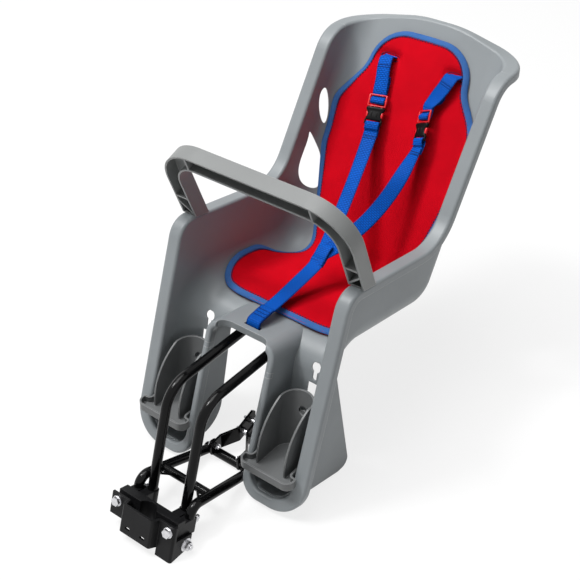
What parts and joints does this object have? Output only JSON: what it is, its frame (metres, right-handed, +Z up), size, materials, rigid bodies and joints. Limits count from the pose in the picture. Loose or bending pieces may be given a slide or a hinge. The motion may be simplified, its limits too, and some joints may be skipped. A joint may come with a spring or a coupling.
{
  "type": "rear child bicycle seat",
  "caption": "Moulded bucket seat with leg guards, safety bar, hook-in footrests, padded liner and harness on a bent-tube carrier that clamps to a bicycle's seat tube.",
  "frame": {"origin": "on the axis of the clamped seat tube, level with the two clamp bolts; the ground is 46 mm lower", "axes": "+X to the seated child's left, +Y to the rear of the seat, +Z up, with the seat standing on the ground"},
  "size_m": [0.347, 0.7992, 0.565],
  "materials": {
    "shell_plastic": "fine moulded grain, mid grey",
    "bar_plastic": "fine moulded grain, light warm grey",
    "pad_fabric": "red woven cover over foam, bound with blue tape",
    "webbing": "blue woven webbing",
    "black_plastic": "black moulding",
    "red_plastic": "red moulding",
    "black_steel": "gloss black powder coat",
    "satin_black_steel": "satin black powder coat",
    "zinc": "bright zinc plate"
  },
  "bodies": {
    "seat": {"buckle_body_left": "black_plastic", "buckle_body_right": "black_plastic", "buckle_latch_left": "red_plastic", "buckle_latch_right": "red_plastic", "carrier_bow": "black_steel", "clamp_bolts": "zinc", "clamp_nuts": "zinc", "clamp_washers": "zinc", "corner_gusset_left": "black_steel", "corner_gusset_right": "black_steel", "crotch_retainer": "black_plastic", "crotch_strap": "webbing", "front_clamp_plate": "satin_black_steel", "front_cross_tube": "black_steel", "lower_rail_left": "black_steel", "lower_rail_right": "black_steel", "lower_strap_left": "webbing", "lower_strap_right": "webbing", "lug_bolts": "zinc", "lug_nuts": "zinc", "rear_clamp_bracket": "satin_black_steel", "rear_cross_tube": "black_steel", "rear_stay_left": "black_steel", "rear_stay_right": "black_steel", "saddle_cap_front": "black_steel", "saddle_cap_rear": "black_steel", "saddle_front": "black_plastic", "saddle_rear": "black_plastic", "saddle_screws": "zinc", "safety_bar": "bar_plastic", "seat_pad": "pad_fabric", "seat_shell": "shell_plastic", "shoulder_strap_left": "webbing", "shoulder_strap_right": "webbing", "side_nut": "zinc", "side_stud": "zinc", "side_washer": "zinc", "stay_bolts": "zinc", "stay_bushes": "zinc", "stay_nuts": "zinc", "strap_retainer_left": "black_plastic", "strap_retainer_right": "black_plastic"},
    "left_footrest": {"footrest_left": "bar_plastic"},
    "right_footrest": {"footrest_right": "bar_plastic"}
  },
  "joints": [
    {"name": "left_footrest_lift", "type": "slide", "parent": "seat", "child": "left_footrest", "axis": [0, 0.225, 0.9744], "range_m": [0, 0.016]},
    {"name": "right_footrest_lift", "type": "slide", "parent": "seat", "child": "right_footrest", "axis": [0, 0.225, 0.9744], "range_m": [0, 0.016]}
  ]
}
